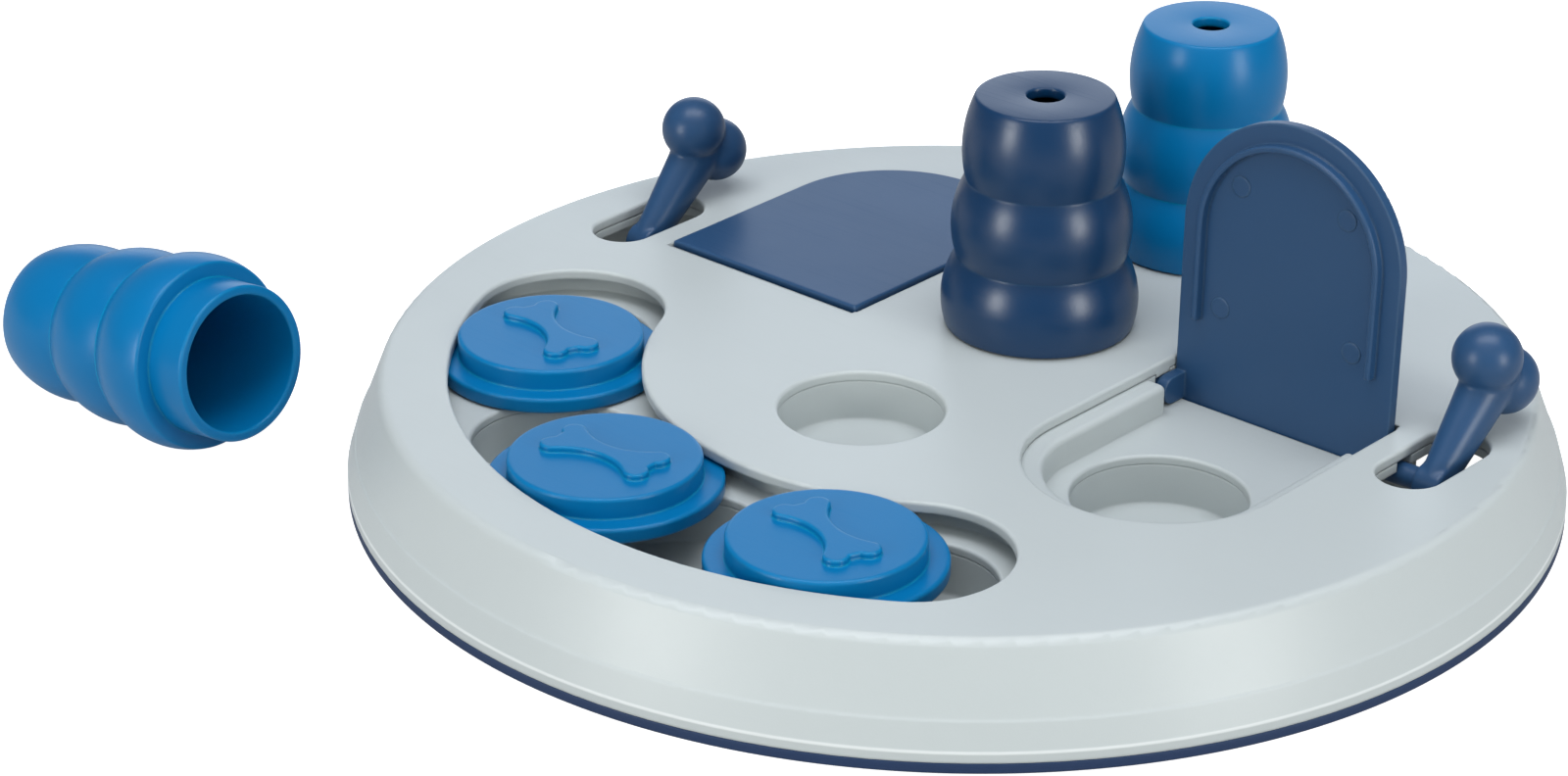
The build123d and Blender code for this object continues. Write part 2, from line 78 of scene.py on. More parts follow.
# what each finish is made of, and what holds where a finish doesn't say
USUAL_FINISH = {"patches": 0.06, "drift": 1, "grain_scale": 3000, "grain": 1,
                "specular": 0.5, "metallic": 0.0, "wear_and_highlight": 0.2}
FINISHES = {
    "cover_plastic": {"colour": "cover_colour", "roughness": 0.40, "drift": 0.5,
                      "grain_scale": 2600, "scuffs": 0.05, "wear_and_highlight": 0.0},
    "navy_plastic": {"colour": "navy_colour", "roughness": 0.31, "scuffs": 0.06},
    "flap_plastic": {"colour": "flap_colour", "roughness": 0.36, "scuffs": 0.03,
                     "specular": 0.35, "wear_and_highlight": 0.3},
    # the blue's edges get the strongest painted highlight
    "blue_plastic": {"colour": "blue_colour", "roughness": 0.31, "scuffs": 0.04,
                     "specular": 0.25, "wear_and_highlight": 1.0},
    "grip_rubber": {"colour": "rubber_colour", "roughness": 0.60, "patches": 0.1, "drift": 2,
                    "grain_scale": 1800, "grain": 3, "scuffs": 0.0, "specular": 0.35},
    "screw_steel": {"colour": "steel_colour", "roughness": 0.28, "patches": 0.1,
                    "grain_scale": 4000, "scuffs": 0.1, "metallic": 1.0},
}
# painted highlight: a lighter band painted on the cover's outside round the top of the lip
HIGHLIGHT_DEPTH = 0.003                       # how far in from the outside the painted highlight band shows
HIGHLIGHT_STRENGTH = 0.45
HIGHLIGHT_FADE, HIGHLIGHT_FULL = 0.00045, 0.0001  # half heights of the painted highlight band: faded out, full
HIGHLIGHT_COLOUR = (0.9, 0.93, 0.93, 1)
EDGE_SOFTNESS = 0.0007                    # radius that edges seem to have
WEAR_AND_HIGHLIGHT_TURN = (0.99, 0.85)                  # cosine from none to full edge wear and painted highlight at an edge
HOLLOW_REACH = 0.0006                     # how near the other wall of a crease stops the edge wear and painted highlight
WEAR_AND_HIGHLIGHT_OPEN = (0.55, 0.8)                   # openness from none to full edge wear and painted highlight
SCUFFS = ((0.5, (40, 2400, 2400)), (1.7, (30, 2000, 2000)))   # turn round +Z, stretch
SCUFF_SHARE = 0.72                        # noise above this is a scuff

CAMERA_PLACE = (0.45515, -0.55490, 0.35845)
CAMERA_TURN = (64.4835, -0.1805, 42.0388)   # degrees
CAMERA_LENS = 96.466                        # mm on a 36 mm sensor
CAMERA_BEARING = -50.6                      # azimuth of the camera, degrees
# name, degrees round from the camera, elevation, distance, width, height, setting of its
# power, colour, whether gloss mirrors it
SOFTBOXES = (
    ("left_softbox", -52, 13, 1.0, 0.26, 0.40, "side_light", (1.0, 0.998, 0.96), True),
    ("right_softbox", 49, 13, 1.0, 0.26, 0.40, "side_light", (1.0, 0.998, 0.96), True),
    ("front_fill", 0, 48, 1.4, 1.8, 1.0, "front_light", (1.0, 1.0, 0.965), False),
    ("top_softbox", 0, 86, 1.3, 1.3, 0.55, "top_light", (0.94, 0.955, 1.0), True),
)
BACKDROP_RISE = 8                           # elevation of its middle, degrees
BACKDROP_EDGE = (0.90, 0.975)               # cosine from the dim room to full backdrop
STUDIO_COLOUR = (0.78, 0.87, 1.0, 1)
FLOOR_SIZE = 6.0
FLOOR_GAP = 0.0001                          # under the grip ring's foot


def node_middle(name):
    """Middle of a node's box."""
    low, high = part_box(name)
    return (low + high) / 2


# ---------------------------------------------------------------- settings
def length(name, description, low, high, default):
    """Setting for a length in metres."""
    return FloatProperty(name=name, description=description, min=low, max=high,
                         default=default, unit="LENGTH", precision=6)


def lengths(name, description, default):
    """Setting for a row of lengths in metres."""
    return FloatVectorProperty(name=name, description=description, size=len(default),
                               default=default, unit="LENGTH", precision=6)


def number(name, description, low, high, default):
    """Setting for a whole number."""
    return IntProperty(name=name, description=description, min=low, max=high, default=default)


def colour(name, description, default):
    """Setting for a linear colour."""
    return FloatVectorProperty(name=name, description=description, size=3, min=0, max=1,
                               default=default, subtype="COLOR")


def amount(name, description, low, high, default, **kind):
    """Setting for a plain number, with a subtype or unit where one fits."""
    return FloatProperty(name=name, description=description, min=low, max=high,
                         default=default, **kind)


class FinishSettings(bpy.types.PropertyGroup):
    cover_colour: colour("Cover colour", "Grey of the moulded cover and tray",
                         (0.450, 0.492, 0.495))
    navy_colour: colour("Navy colour", "Dark blue of one cone", (0.002, 0.029, 0.088))
    flap_colour: colour("Flap colour", "Dark blue of the flaps and levers",
                        (0.019, 0.062, 0.146))
    blue_colour: colour("Blue colour", "Bright blue of the discs and two cones",
                        (0.0, 0.142, 0.352))
    rubber_colour: colour("Rubber colour", "Navy of the grip ring", (0.009, 0.028, 0.083))
    steel_colour: colour("Steel colour", "Zinc of the screws", (0.55, 0.55, 0.57))
    mottle: amount("Mottle", "How much the moulded colour drifts over a surface", 0, 1, 0.06,
                   subtype="FACTOR")
    # painted highlight: height of the lighter band painted round the board's foot
    painted_highlight_level: length("Painted highlight level", "Height of the fine light ledge round the board's foot",
                        0, 0.02, 0.0041)
    grain_height: length("Grain height", "Depth of the eroded mould texture",
                         0, 0.0005, 0.000012)


class WellSettings(bpy.types.PropertyGroup):
    well_radius: length("Well radius", "Inside radius of the cone wells and treat wells",
                        0.005, 0.03, 0.0155)
    pan_well_radius: length("Pan well radius", "Inside radius of the wells under the flaps",
                            0.005, 0.03, 0.0163)
    wall: length("Wall", "Wall thickness of the wells", 0.001, 0.004, 0.0018)
    floor_fillet: length("Floor fillet", "Rounding between a well's wall and floor",
                         0.0002, 0.005, 0.0005)
    sides: number("Segments", "Segments round a well", 32, 256, 128)


class RingSettings(bpy.types.PropertyGroup):
    sides: number("Segments", "Segments round the grip ring", 32, 512, 288)
    edge_round: length("Edge rounding", "Rounding of the ring's lower outer edge",
                       0, 0.001, 0.0005)
    width: length("Width", "Width of the ring's foot", 0.002, 0.01, 0.0051)
    tongue_inset: length("Tongue inset", "From the ring's outside to its tongue",
                         0.001, 0.005, 0.0024)
    tongue_width: length("Tongue width", "Width of the tongue that grips the cover",
                         0.0005, 0.005, 0.0015)


class ScrewSettings(bpy.types.PropertyGroup):
    count: number("Screws", "Screws round the foot flange", 1, 24, 6)
    first_angle: FloatProperty(
        name="First angle", description="Where the first screw stands, round from +X",
        subtype="ANGLE", default=math.radians(15))
    head_radius: length("Head radius", "Radius of a screw head", 0.001, 0.005, 0.0024)
    head_height: length("Head height", "Height of a screw head", 0.0005, 0.005, 0.0014)
    shank_radius: length("Shank radius", "Radius of a screw's shank", 0.0005, 0.005, 0.0012)
    socket_radius: length("Socket radius", "Radius of the hexagonal socket's corners",
                          0.0005, 0.002, 0.0011)
    socket_depth: length("Socket depth", "Depth of the hexagonal socket",
                         0.0002, 0.002, 0.0008)
    sides: number("Segments", "Segments round a screw, a multiple of six", 12, 96, 48)


class ConeSettings(bpy.types.PropertyGroup):
    height: length("Height", "Cone above its seat", 0.02, 0.1, 0.0463)
    base_radius: length("Base radius", "Radius where the lowest ring meets the seat",
                        0.01, 0.03, 0.0181)
    top_radius: length("Top radius", "Radius of the flat top", 0.005, 0.03, 0.0132)
    bulge_radii: lengths("Ring radii", "Largest radius of each ring, from the seat up",
                         (0.01895, 0.0173, 0.0155))
    bulge_heights: lengths("Ring heights", "Height of each ring's largest radius",
                           (0.0062, 0.0213, 0.0354))
    groove_radii: lengths("Groove radii", "Radius of the two creases between the rings",
                          (0.0163, 0.0148))
    groove_heights: lengths("Groove heights", "Height of the two creases", (0.0142, 0.0298))
    spigot_radius: length("Spigot radius", "Radius of the spigot that drops in a well",
                          0.005, 0.03, 0.0151)
    spigot: length("Spigot", "Length of the spigot below the seat", 0.002, 0.02, 0.009)
    wall: length("Wall", "Wall thickness", 0.001, 0.004, 0.0019)
    hole_radius: length("Hole radius", "Radius of the small hole in the top",
                        0.001, 0.008, 0.0036)
    inner_taper: length("Inside taper", "How much the hollow narrows from mouth to top",
                        0, 0.005, 0.001)
    edge_round: length("Edge rounding", "Rounding of the hole's edge; outer edges take more",
                       0.0001, 0.001, 0.0003)
    ring_steps: number("Ring steps", "Segments over the height of one ring", 4, 48, 16)
    sides: number("Segments", "Segments round a cone", 32, 256, 144)


class LeverSettings(bpy.types.PropertyGroup):
    skin: length("Skin size", "Size of the faces that skin a lever", 0.0001, 0.002, 0.00034)
    blend: number("Crease blend", "Smoothing passes over the creases between the balls",
                 0, 60, 8)


class FlapSettings(bpy.types.PropertyGroup):
    mark_radius: length("Pin mark radius", "Radius of a moulding pin's mark",
                        0.001, 0.005, 0.0021)
    mark_height: length("Pin mark height", "How far a pin mark stands out", 0, 0.001, 0.00012)
    mark_spread: length("Pin mark spread", "From a flap's centre line to its pin marks",
                        0, 0.03, 0.0133)
    mark_pitch: length("Pin mark pitch", "Between the two rows of pin marks",
                       0, 0.06, 0.0252)
    mark_middle: length("Pin mark place", "From the hinge to midway between the rows",
                        0, 0.06, 0.0306)
    mark_lean: amount("Pin mark lean", "How fast the rows widen per metre along the flap",
                      -50, 50, -9.0)
    inner_face: length("Inner face", "Height of a closed flap's inner face above the hinge",
                       0, 0.01, 0.0035)


class StageSettings(bpy.types.PropertyGroup):
    floor_colour: colour("Floor colour", "Colour of the studio floor", (0.45, 0.45, 0.45))
    floor_glow: amount("Floor glow", "Light of the lit table as the camera sees it",
                       0, 2, 0.97)
    floor_bounce: amount("Floor bounce", "Light that the table throws back on the toy",
                         0, 2, 0.14)
    side_light: amount("Side lights", "Power of each side softbox", 0, 100, 3.85,
                       unit="POWER")
    front_light: amount("Front light", "Power of the large dim fill above the camera",
                        0, 100, 7.5, unit="POWER")
    top_light: amount("Top light", "Power of the overhead softbox", 0, 200, 13.7,
                      unit="POWER")
    backdrop: amount("Backdrop", "Brightness of the studio above and behind the object",
                     0, 4, 1.75)
    room: amount("Room", "Brightness of the studio on the camera's side", 0, 4, 0.20)


SETTINGS = {
    "feeder_finish": FinishSettings,
    "feeder_wells": WellSettings,
    "feeder_ring": RingSettings,
    "feeder_screws": ScrewSettings,
    "feeder_cone": ConeSettings,
    "feeder_lever": LeverSettings,
    "feeder_flap": FlapSettings,
    "feeder_stage": StageSettings,
}


# ---------------------------------------------------------------- node trees
def new_tree(kind, name, inputs, outputs):
    """Node tree with its sockets: the tree, what comes in, and the inputs' identifiers."""
    tree = bpy.data.node_groups.new(name, kind)
    identifiers = {}
    for label, socket_kind, value in inputs:
        socket = tree.interface.new_socket(name=label, in_out="INPUT",
                                           socket_type="NodeSocket" + socket_kind)
        if value is not None:
            socket.default_value = value
        identifiers[label] = socket.identifier
    for label, socket_kind in outputs:
        tree.interface.new_socket(name=label, in_out="OUTPUT",
                                  socket_type="NodeSocket" + socket_kind)
    return tree, tree.nodes.new("NodeGroupInput").outputs, identifiers


def add(tree, kind, inputs=(), **settings):
    """Node of a kind, with its settings made and each input linked or set."""
    node = tree.nodes.new(kind)
    for key, value in settings.items():
        setattr(node, key, value)
    for key, value in dict(inputs).items():
        if isinstance(value, bpy.types.NodeSocket):
            tree.links.new(value, node.inputs[key])
        else:
            node.inputs[key].default_value = value
    return node


def calc(tree, operation, first, second=0.0):
    """Result of a math node whose inputs are sockets or numbers."""
    return add(tree, "ShaderNodeMath", {0: first, 1: second}, operation=operation).outputs[0]


def ramp(tree, value, low, high, interpolation="LINEAR"):
    """0 at one value, 1 at another, clamped outside them."""
    return add(tree, "ShaderNodeMapRange",
               {"Value": value, "From Min": low, "From Max": high},
               interpolation_type=interpolation).outputs["Result"]


def blend(tree, factor, first, second):
    """Mix of two colours."""
    return add(tree, "ShaderNodeMix", {"Factor": factor, "A": first, "B": second},
               data_type="RGBA").outputs["Result"]


def noise(tree, place, scale, detail, roughness=0.5):
    """Noise at a place, as a grey value."""
    return add(tree, "ShaderNodeTexNoise",
               {"Vector": place, "Scale": scale, "Detail": detail, "Roughness": roughness}
               ).outputs["Fac"]


def object_place(tree):
    """Where a point of the piece lies, in the frame of the whole toy."""
    return tree.nodes.new("ShaderNodeTexCoord").outputs["Object"]


# ---------------------------------------------------------------- shader groups
def moulded_skin():
    """Colour drift, patchy gloss and fine eroded grain of an injection moulding."""
    tree, given, _ = new_tree(
        "ShaderNodeTree", "moulded skin",
        [("Color", "Color", (0.5, 0.5, 0.5, 1)), ("Drift", "Float", 0.06),
         ("Drift scale", "Float", 26.0), ("Roughness", "Float", 0.4),
         ("Gloss patches", "Float", 0.05), ("Grain scale", "Float", 2600.0)],
        [("Color", "Color"), ("Roughness", "Float"), ("Grain", "Float")])
    place = object_place(tree)
    centred = calc(tree, "SUBTRACT", noise(tree, place, given["Drift scale"], 3.0), 0.5)
    scaled = calc(tree, "MULTIPLY", centred, given["Drift"])
    value = calc(tree, "ADD", calc(tree, "MULTIPLY", scaled, 2.0), 1.0)
    tint = add(tree, "ShaderNodeHueSaturation", {"Value": value, "Color": given["Color"]})
    patches = calc(tree, "SUBTRACT", noise(tree, place, 90.0, 4.0, 0.6), 0.5)
    shift = calc(tree, "MULTIPLY", patches, given["Gloss patches"])
    add(tree, "NodeGroupOutput",
        {"Color": tint.outputs["Color"],
         "Roughness": calc(tree, "ADD", given["Roughness"], shift),
         "Grain": noise(tree, place, given["Grain scale"], 2.0, 0.6)})
    return tree


def hairline_scuffs():
    """Fine hairline scuffs: thin bright streaks that only touch the gloss."""
    tree, given, _ = new_tree(
        "ShaderNodeTree", "hairline scuffs",
        [("Roughness", "Float", 0.4), ("Amount", "Float", 0.1)], [("Roughness", "Float")])
    place = object_place(tree)
    streaks = 0.0
    for turn, stretch in SCUFFS:
        mapping = add(tree, "ShaderNodeMapping",
                      {"Vector": place, "Rotation": (0, 0, turn), "Scale": stretch})
        thin = calc(tree, "GREATER_THAN",
                    noise(tree, mapping.outputs["Vector"], 1.0, 0.0), SCUFF_SHARE)
        streaks = calc(tree, "MAXIMUM", streaks, thin)
    scuffed = calc(tree, "MULTIPLY", streaks, given["Amount"])
    add(tree, "NodeGroupOutput",
        {"Roughness": calc(tree, "ADD", given["Roughness"], scuffed)})
    return tree


def edge_wear_and_highlight():
    """Lighter colour along the raised edges of a moulding, partly wear and partly a painted
    highlight, and their soft normal.
    """
    tree, given, _ = new_tree(
        "ShaderNodeTree", "edge wear",
        [("Color", "Color", (0.5, 0.5, 0.5, 1)), ("Edge color", "Color", (0.8, 0.8, 0.8, 1)),
         ("Amount", "Float", 0.1)],
        [("Color", "Color"), ("Normal", "Vector")])
    soft = add(tree, "ShaderNodeBevel", {"Radius": EDGE_SOFTNESS}, samples=6).outputs["Normal"]
    surface = tree.nodes.new("ShaderNodeNewGeometry").outputs["Normal"]
    turned = add(tree, "ShaderNodeVectorMath", {0: soft, 1: surface}, operation="DOT_PRODUCT")
    edge = ramp(tree, turned.outputs["Value"], *WEAR_AND_HIGHLIGHT_TURN)
    hollow = add(tree, "ShaderNodeAmbientOcclusion", {"Distance": HOLLOW_REACH},
                 samples=4, only_local=True)
    raised = ramp(tree, hollow.outputs["AO"], *WEAR_AND_HIGHLIGHT_OPEN)
    # share of the lighter edge colour: wear and painted highlight
    rubbed_and_lit = calc(tree, "MULTIPLY", calc(tree, "MULTIPLY", edge, raised), given["Amount"])
    add(tree, "NodeGroupOutput",
        {"Color": blend(tree, rubbed_and_lit, given["Color"], given["Edge color"]), "Normal": soft})
    return tree


def rim_painted_highlight():
    """Painted highlight: a lighter band round the board between its flare and its lip, standing in
    for the light caught at the lip's top edge.
    """
    tree, given, _ = new_tree(
        "ShaderNodeTree", "rim ledge",
        [("Color", "Color", (0.5, 0.5, 0.5, 1)), ("Level", "Float", 0.005),
         ("Radius", "Float", 0.1), ("Strength", "Float", 0.3)],
        [("Color", "Color")])
    parts = add(tree, "ShaderNodeSeparateXYZ", {"Vector": object_place(tree)}).outputs
    away = calc(tree, "ABSOLUTE", calc(tree, "SUBTRACT", parts["Z"], given["Level"]))
    band = ramp(tree, away, HIGHLIGHT_FADE, HIGHLIGHT_FULL, "SMOOTHSTEP")
    reach = calc(tree, "SQRT", calc(tree, "ADD",
                                    calc(tree, "MULTIPLY", parts["X"], parts["X"]),
                                    calc(tree, "MULTIPLY", parts["Y"], parts["Y"])))
    outside = calc(tree, "GREATER_THAN", reach, given["Radius"])
    factor = calc(tree, "MULTIPLY", given["Strength"], calc(tree, "MULTIPLY", band, outside))
    add(tree, "NodeGroupOutput",
        {"Color": blend(tree, factor, given["Color"], HIGHLIGHT_COLOUR)})
    return tree


shared_groups = {}


def shared(tree, maker, inputs):
    """Outputs of a shared group, placed in a material with that material's values."""
    if maker not in shared_groups:
        shared_groups[maker] = maker()
    return add(tree, "ShaderNodeGroup", inputs, node_tree=shared_groups[maker]).outputs


def material_of(finish):
    """Material of a finish, made once."""
    name = finish.replace("_", " ")
    if name in bpy.data.materials:
        return bpy.data.materials[name]
    settings = bpy.context.scene.feeder_finish
    look = {**USUAL_FINISH, **FINISHES[finish]}
    rgb = getattr(settings, look["colour"])
    material = bpy.data.materials.new(name)
    material.use_nodes = True
    tree = material.node_tree
    skin = shared(tree, moulded_skin,
                  {"Color": (*rgb, 1), "Drift": settings.mottle * look["drift"],
                   "Roughness": look["roughness"], "Gloss patches": look["patches"],
                   "Grain scale": look["grain_scale"]})
    scuffed = shared(tree, hairline_scuffs,
                     {"Roughness": skin["Roughness"], "Amount": look["scuffs"]})
    # edge wear and painted highlight: a lighter colour along raised edges
    worn_and_lit = shared(tree, edge_wear_and_highlight,
                  {"Color": skin["Color"], "Amount": look["wear_and_highlight"],
                   "Edge color": (*(value ** 0.5 for value in rgb), 1)})
    base = worn_and_lit["Color"]
    # painted highlight: a lighter band painted round the cover's foot
    if finish == "cover_plastic":
        painted_highlight = shared(tree, rim_painted_highlight,
                       {"Color": base, "Level": settings.painted_highlight_level,
                        "Radius": board_radius - HIGHLIGHT_DEPTH, "Strength": HIGHLIGHT_STRENGTH})
        base = painted_highlight["Color"]
    bump = add(tree, "ShaderNodeBump",
               {"Distance": settings.grain_height * look["grain"], "Height": skin["Grain"],
                "Normal": worn_and_lit["Normal"]})
    shader = tree.nodes["Principled BSDF"]
    tree.links.new(base, shader.inputs["Base Color"])
    tree.links.new(scuffed["Roughness"], shader.inputs["Roughness"])
    tree.links.new(bump.outputs["Normal"], shader.inputs["Normal"])
    shader.inputs["Specular IOR Level"].default_value = look["specular"]
    shader.inputs["Metallic"].default_value = look["metallic"]
    return material


# ---------------------------------------------------------------- mesh helpers
def new_object(name, data):
    """Object in the scene."""
    made = bpy.data.objects.new(name, data)
    bpy.context.scene.collection.objects.link(made)
    return made


def paint(piece, finish):
    """Give a piece or a carried-over node one finish all over."""
    piece.data.materials.clear()
    piece.data.materials.append(material_of(finish))


def settle(piece, body, slot, *nodes):
    """Hand a finished piece to its body and hide the nodes it stands for; the slot is not used."""
    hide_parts(*nodes)
    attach(piece, body)


def rounded(corners, steps=5):
    """Polyline (x, y) through corners given as (x, y, radius), with each corner's arc."""
    points = []
    count = len(corners)
    for index, (x, y, radius) in enumerate(corners):
        here = Vector((x, y))
        if radius <= 0:
            points.append(here)
            continue
        before = Vector(corners[index - 1][:2]) - here
        after = Vector(corners[(index + 1) % count][:2]) - here
        half = before.angle(after) / 2
        reach = radius / math.tan(half)
        centre = here + (before.normalized() + after.normalized()).normalized() * (
            radius / math.sin(half))
        first = here + before.normalized() * reach - centre
        last = here + after.normalized() * reach - centre
        sweep = first.angle_signed(last)
        for step in range(steps + 1):
            points.append(centre + Matrix.Rotation(-sweep * step / steps, 2) @ first)
    return points


def arc_through(first, middle, last, steps):
    """Points on the arc through three (x, y) points, both ends included."""
    a, b, c = Vector(first), Vector(middle), Vector(last)
    ab, ac = b - a, c - a
    twice = 2 * (ab.x * ac.y - ab.y * ac.x)
    centre = a + Vector((ac.y * ab.length_squared - ab.y * ac.length_squared,
                         ab.x * ac.length_squared - ac.x * ab.length_squared)) / twice
    spoke = a - centre
    sweep = spoke.angle_signed(b - centre) + (b - centre).angle_signed(c - centre)
    return [centre + Matrix.Rotation(-sweep * n / steps, 2) @ spoke for n in range(steps + 1)]


def shift_to_node(bm, name):
    """Move a mesh so that the middle of its box is the middle of a node's box."""
    for axis in range(3):
        values = [vert.co[axis] for vert in bm.verts]
        offset = Vector((0, 0, 0))
        offset[axis] = node_middle(name)[axis] - (min(values) + max(values)) / 2
        bmesh.ops.translate(bm, verts=bm.verts, vec=offset)


def lathe(bm, profile, sides, place=None):
    """Turn a closed profile of (radius, height) round +Z, with single points on the axis."""
    place = place or Matrix.Identity(4)
    rings = []
    for radius, height in profile:
        if radius < 1e-7:
            rings.append([bm.verts.new(place @ Vector((0, 0, height)))])
            continue
        rings.append([
            bm.verts.new(place @ Vector((radius * math.cos(turn), radius * math.sin(turn),
                                         height)))
            for turn in (2 * math.pi * n / sides for n in range(sides))])
    for lower, upper in zip(rings, rings[1:] + rings[:1]):
        if len(lower) == 1 and len(upper) == 1:
            continue
        for n in range(sides):
            m = (n + 1) % sides
            corners = [lower[n % len(lower)], lower[m % len(lower)],
                       upper[m % len(upper)], upper[n % len(upper)]]
            corners = [v for i, v in enumerate(corners) if v not in corners[:i]]
            bm.faces.new(corners)


def mesh_piece(name, bm, material, sharp=None):
    """New object from a bmesh, smooth, with faces turned outwards."""
    bmesh.ops.recalc_face_normals(bm, faces=bm.faces)
    mesh = bpy.data.meshes.new(name)
    bm.to_mesh(mesh)
    bm.free()
    mesh.shade_smooth()
    if sharp is not None:
        mesh.set_sharp_from_angle(angle=sharp)
    mesh.materials.append(material)
    return new_object(name, mesh)


def bake(piece, name):
    """Plain mesh object from what a piece's modifiers make; the piece goes."""
    depsgraph = bpy.context.evaluated_depsgraph_get()
    mesh = bpy.data.meshes.new_from_object(piece.evaluated_get(depsgraph))
    bpy.data.objects.remove(piece)
    return new_object(name, mesh)


def welded_copy(node, name):
    """Copy of a node's mesh with its loose triangles joined."""
    bm = bmesh.new()
    bm.from_mesh(frame["nodes"][node].data)
    bmesh.ops.remove_doubles(bm, verts=bm.verts, dist=1e-6)
    mesh = bpy.data.meshes.new(name)
    bm.to_mesh(mesh)
    bm.free()
    return new_object(name, mesh)


# ---------------------------------------------------------------- geometry trees
def piece_tree(name, inputs):
    """Geometry node tree with named inputs that gives out one geometry."""
    return new_tree("GeometryNodeTree", name, inputs, [("Geometry", "Geometry")])


def give_out(tree, geometry, finish):
    """End of a geometry tree: real instances of one finish."""
    real = add(tree, "GeometryNodeRealizeInstances", {"Geometry": geometry})
    painted = add(tree, "GeometryNodeSetMaterial",
                  {"Geometry": real.outputs["Geometry"], "Material": material_of(finish)})
    add(tree, "NodeGroupOutput", {"Geometry": painted.outputs["Geometry"]})


def grow(name, made_tree, finish, values):
    """Object of one finish made by a geometry tree, baked to a plain mesh."""
    tree, identifiers = made_tree
    holder = new_object(name + "_tree", bpy.data.meshes.new(name))
    modifier = holder.modifiers.new("grow", "NODES")
    modifier.node_group = tree
    for label, value in values.items():
        modifier[identifiers[label]] = value
    piece = bake(holder, name)
    paint(piece, finish)
    return piece


def swept_ring(finish):
    """A closed profile carried round a circle: the grip ring."""
    tree, given, identifiers = piece_tree("ring sweep", [
        ("Radius", "Float", 0.1), ("Segments", "Int", 128), ("Profile", "Object", None)])
    path = add(tree, "GeometryNodeCurvePrimitiveCircle",
               {"Radius": given["Radius"], "Resolution": given["Segments"]})
    outline = add(tree, "GeometryNodeObjectInfo", {"Object": given["Profile"]})
    sweep = add(tree, "GeometryNodeCurveToMesh",
                {"Curve": path.outputs["Curve"],
                 "Profile Curve": outline.outputs["Geometry"]})
    angle = tree.nodes.new("GeometryNodeInputMeshEdgeAngle").outputs["Unsigned Angle"]
    soft = add(tree, "FunctionNodeCompare", {"A": angle, "B": CREASE}, operation="LESS_THAN")
    smooth = add(tree, "GeometryNodeSetShadeSmooth",
                 {"Geometry": sweep.outputs["Mesh"], "Shade Smooth": soft.outputs["Result"]},
                 domain="EDGE")
    give_out(tree, smooth.outputs["Geometry"], finish)
    return tree, identifiers


def pin_marks(finish):
    """Four round pin marks on a flap's inner face, in a frame with its origin on the hinge."""
    tree, given, identifiers = piece_tree("pin marks", [
        ("Across", "Float", 0.02), ("Along", "Float", 0.03), ("Lean", "Float", 0.0),
        ("Middle", "Float", 0.02), ("Level", "Float", 0.003), ("Radius", "Float", 0.002),
        ("Height", "Float", 0.0001)])
    spots = add(tree, "GeometryNodeMeshGrid",
                {"Vertices X": 2, "Vertices Y": 2, "Size X": given["Across"],
                 "Size Y": given["Along"]})
    position = tree.nodes.new("GeometryNodeInputPosition").outputs["Position"]
    spot = add(tree, "ShaderNodeSeparateXYZ", {"Vector": position}).outputs
    product = calc(tree, "MULTIPLY", spot["X"], spot["Y"])
    offset = add(tree, "ShaderNodeCombineXYZ",
                 {"X": calc(tree, "MULTIPLY", product, given["Lean"]), "Y": given["Middle"],
                  "Z": given["Level"]})
    move = add(tree, "GeometryNodeSetPosition",
               {"Geometry": spots.outputs["Mesh"], "Offset": offset.outputs["Vector"]})
    mark = add(tree, "GeometryNodeMeshCylinder",
               {"Vertices": 48, "Radius": given["Radius"],
                "Depth": calc(tree, "MULTIPLY", given["Height"], 2.0)})
    placed = add(tree, "GeometryNodeInstanceOnPoints",
                 {"Points": move.outputs["Geometry"], "Instance": mark.outputs["Mesh"]})
    give_out(tree, placed.outputs["Instances"], finish)
    return tree, identifiers


def round_row(finish):
    """One object set at even angles round a circle, each turned a little further."""
    tree, given, identifiers = piece_tree("round row", [
        ("Count", "Int", 6), ("Radius", "Float", 0.1), ("First angle", "Float", 0.0),
        ("Piece", "Object", None)])
    circle = add(tree, "GeometryNodeMeshCircle",
                 {"Vertices": given["Count"], "Radius": given["Radius"]})
    spin = add(tree, "ShaderNodeCombineXYZ", {"Z": given["First angle"]})
    turn = add(tree, "GeometryNodeTransform",
               {"Geometry": circle.outputs["Mesh"], "Rotation": spin.outputs["Vector"]})
    pick = add(tree, "GeometryNodeObjectInfo", {"Object": given["Piece"]})
    index = tree.nodes.new("GeometryNodeInputIndex").outputs["Index"]
    facing = add(tree, "ShaderNodeCombineXYZ",
                 {"Z": calc(tree, "MULTIPLY", index, SCREW_TURN)})
    placed = add(tree, "GeometryNodeInstanceOnPoints",
                 {"Points": turn.outputs["Geometry"], "Instance": pick.outputs["Geometry"],
                  "Rotation": facing.outputs["Vector"]})
    give_out(tree, placed.outputs["Instances"], finish)
    return tree, identifiers


